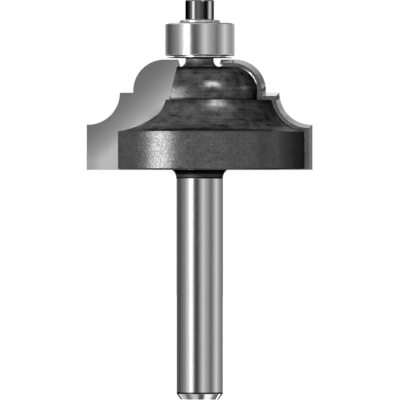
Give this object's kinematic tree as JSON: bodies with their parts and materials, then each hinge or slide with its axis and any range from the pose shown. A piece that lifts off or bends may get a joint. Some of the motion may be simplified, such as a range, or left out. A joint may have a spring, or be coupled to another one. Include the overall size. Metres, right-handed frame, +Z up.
{
  "type": "router bit",
  "caption": "Ogee edge-forming router bit with brazed carbide tips, chip-limiting body, round shank and a ball-bearing guide held by a socket screw.",
  "frame": {"origin": "centre of the flat end of the shank, which the bit stands on", "axes": "+Z runs up the axis to the guide bearing and screw; carbide_tip_1 is on the -X side and its face looks towards -Y"},
  "size_m": [0.0308, 0.0286, 0.0543],
  "materials": {
    "coated_steel": "grainy charcoal coat on the head, bright ground shank",
    "carbide": "fine-ground satin tungsten carbide",
    "black_steel": "glossy black oxide",
    "bright_steel": "bright steel",
    "bearing_steel": "ground and honed bearing steel",
    "ball_steel": "polished",
    "cage_steel": "pressed sheet steel"
  },
  "bodies": {
    "cutter": {"cutter_body": "coated_steel", "carbide_tip_1": "carbide", "carbide_tip_2": "carbide", "dust_washer": "black_steel", "shim_washer": "bright_steel", "bearing_inner_ring": "bearing_steel", "clamp_washer": "bright_steel", "clamp_screw": "black_steel"},
    "outer_ring_group": {"bearing_outer_ring": "bearing_steel", "shield_lower": "cage_steel", "shield_upper": "cage_steel", "shield_clip_lower": "bright_steel", "shield_clip_upper": "bright_steel"},
    "cage": {"cage_lower_half": "cage_steel", "cage_upper_half": "cage_steel"},
    "ball_1": {"bearing_ball_1": "ball_steel"},
    "ball_2": {"bearing_ball_2": "ball_steel"},
    "ball_3": {"bearing_ball_3": "ball_steel"},
    "ball_4": {"bearing_ball_4": "ball_steel"},
    "ball_5": {"bearing_ball_5": "ball_steel"},
    "ball_6": {"bearing_ball_6": "ball_steel"},
    "ball_7": {"bearing_ball_7": "ball_steel"}
  },
  "joints": [
    {"name": "outer_ring_spin", "type": "hinge", "parent": "cutter", "child": "outer_ring_group", "pos_m": [0, 0, 0.04897], "axis": [0, 0, 1], "continuous": true},
    {"name": "cage_spin", "type": "hinge", "parent": "cutter", "child": "cage", "pos_m": [0, 0, 0.04897], "axis": [0, 0, 1], "continuous": true},
    {"name": "ball_1_spin", "type": "hinge", "parent": "cage", "child": "ball_1", "pos_m": [0.00317, 0, 0.04897], "axis": [0, 0, 1], "continuous": true},
    {"name": "ball_2_spin", "type": "hinge", "parent": "cage", "child": "ball_2", "pos_m": [0.00198, 0.00248, 0.04897], "axis": [0, 0, 1], "continuous": true},
    {"name": "ball_3_spin", "type": "hinge", "parent": "cage", "child": "ball_3", "pos_m": [-0.00071, 0.0031, 0.04897], "axis": [0, 0, 1], "continuous": true},
    {"name": "ball_4_spin", "type": "hinge", "parent": "cage", "child": "ball_4", "pos_m": [-0.00286, 0.00138, 0.04897], "axis": [0, 0, 1], "continuous": true},
    {"name": "ball_5_spin", "type": "hinge", "parent": "cage", "child": "ball_5", "pos_m": [-0.00286, -0.00138, 0.04897], "axis": [0, 0, 1], "continuous": true},
    {"name": "ball_6_spin", "type": "hinge", "parent": "cage", "child": "ball_6", "pos_m": [-0.00071, -0.0031, 0.04897], "axis": [0, 0, 1], "continuous": true},
    {"name": "ball_7_spin", "type": "hinge", "parent": "cage", "child": "ball_7", "pos_m": [0.00198, -0.00248, 0.04897], "axis": [0, 0, 1], "continuous": true}
  ],
  "couplings": [
    {"joint": "cage_spin", "follows": "outer_ring_spin", "ratio": 0.625},
    {"joint": "ball_1_spin", "follows": "outer_ring_spin", "ratio": 1.875},
    {"joint": "ball_2_spin", "follows": "outer_ring_spin", "ratio": 1.875},
    {"joint": "ball_3_spin", "follows": "outer_ring_spin", "ratio": 1.875},
    {"joint": "ball_4_spin", "follows": "outer_ring_spin", "ratio": 1.875},
    {"joint": "ball_5_spin", "follows": "outer_ring_spin", "ratio": 1.875},
    {"joint": "ball_6_spin", "follows": "outer_ring_spin", "ratio": 1.875},
    {"joint": "ball_7_spin", "follows": "outer_ring_spin", "ratio": 1.875}
  ]
}
